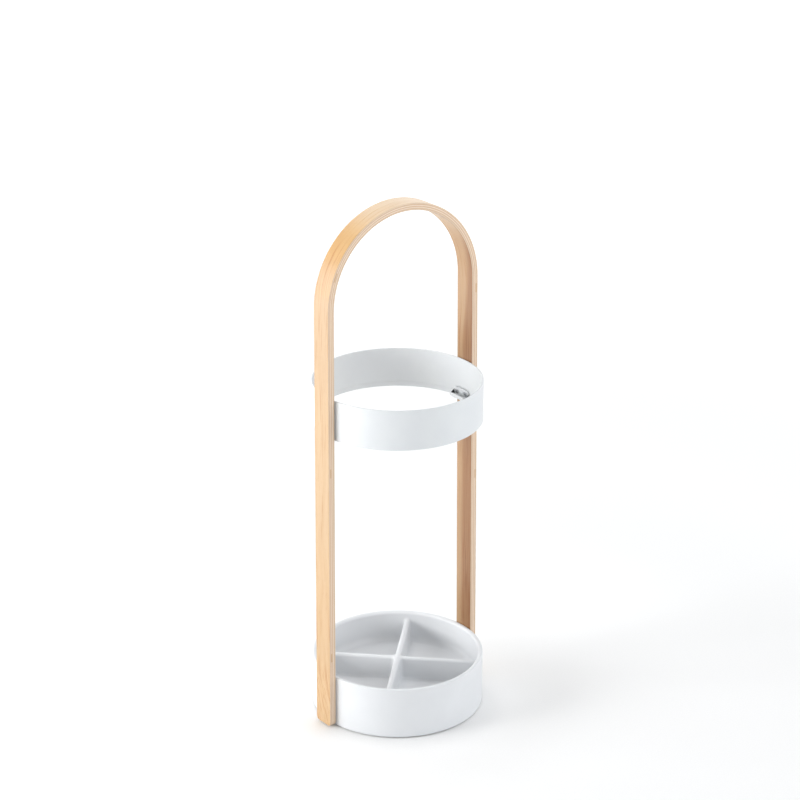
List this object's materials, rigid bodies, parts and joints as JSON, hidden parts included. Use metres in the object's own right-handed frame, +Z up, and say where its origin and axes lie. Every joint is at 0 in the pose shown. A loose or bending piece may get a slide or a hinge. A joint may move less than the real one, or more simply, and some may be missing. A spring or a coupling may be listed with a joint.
{
  "type": "umbrella stand",
  "caption": "Free-standing umbrella stand: a bent plywood arch carries a steel ring with strap hooks above a weighted round tray divided into pockets.",
  "frame": {"origin": "on the floor under the middle of the base, at the bottom of the foot pads", "axes": "+X from the left leg to the right leg, +Y towards the back, +Z up"},
  "size_m": [0.2298, 0.212, 0.648],
  "materials": {
    "birch_plywood": "clear satin lacquer, straight pale grain with laminations showing on the edges",
    "white_powder_coat": "fine satin powder coat, cool white",
    "white_moulding": "fine-textured satin moulding, cool white",
    "grey_plastic": "textured matte moulding",
    "zinc_plated_steel": "zinc plated",
    "brass": "turned",
    "cast_iron": "as cast",
    "rubber": "matte"
  },
  "bodies": {
    "root": {"bentwood_arch": "birch_plywood", "support_ring": "white_powder_coat", "hook_left": "white_powder_coat", "hook_right": "white_powder_coat", "tray_base": "white_moulding", "ballast_disc": "cast_iron", "ballast_washer": "zinc_plated_steel", "ballast_screw": "zinc_plated_steel", "bottom_cover": "grey_plastic", "ring_screw_left_front": "zinc_plated_steel", "ring_screw_left_back": "zinc_plated_steel", "ring_screw_right_front": "zinc_plated_steel", "ring_screw_right_back": "zinc_plated_steel", "ring_insert_left_front": "brass", "ring_insert_left_back": "brass", "ring_insert_right_front": "brass", "ring_insert_right_back": "brass", "base_screw_left_front": "zinc_plated_steel", "base_screw_left_back": "zinc_plated_steel", "base_screw_right_front": "zinc_plated_steel", "base_screw_right_back": "zinc_plated_steel", "base_washer_left_front": "zinc_plated_steel", "base_washer_left_back": "zinc_plated_steel", "base_washer_right_front": "zinc_plated_steel", "base_washer_right_back": "zinc_plated_steel", "base_insert_left_front": "brass", "base_insert_left_back": "brass", "base_insert_right_front": "brass", "base_insert_right_back": "brass", "cover_screw_1": "zinc_plated_steel", "cover_screw_2": "zinc_plated_steel", "cover_screw_3": "zinc_plated_steel", "cover_screw_4": "zinc_plated_steel", "foot_pad_1": "rubber", "foot_pad_2": "rubber", "foot_pad_3": "rubber", "foot_pad_4": "rubber"}
  },
  "joints": []
}
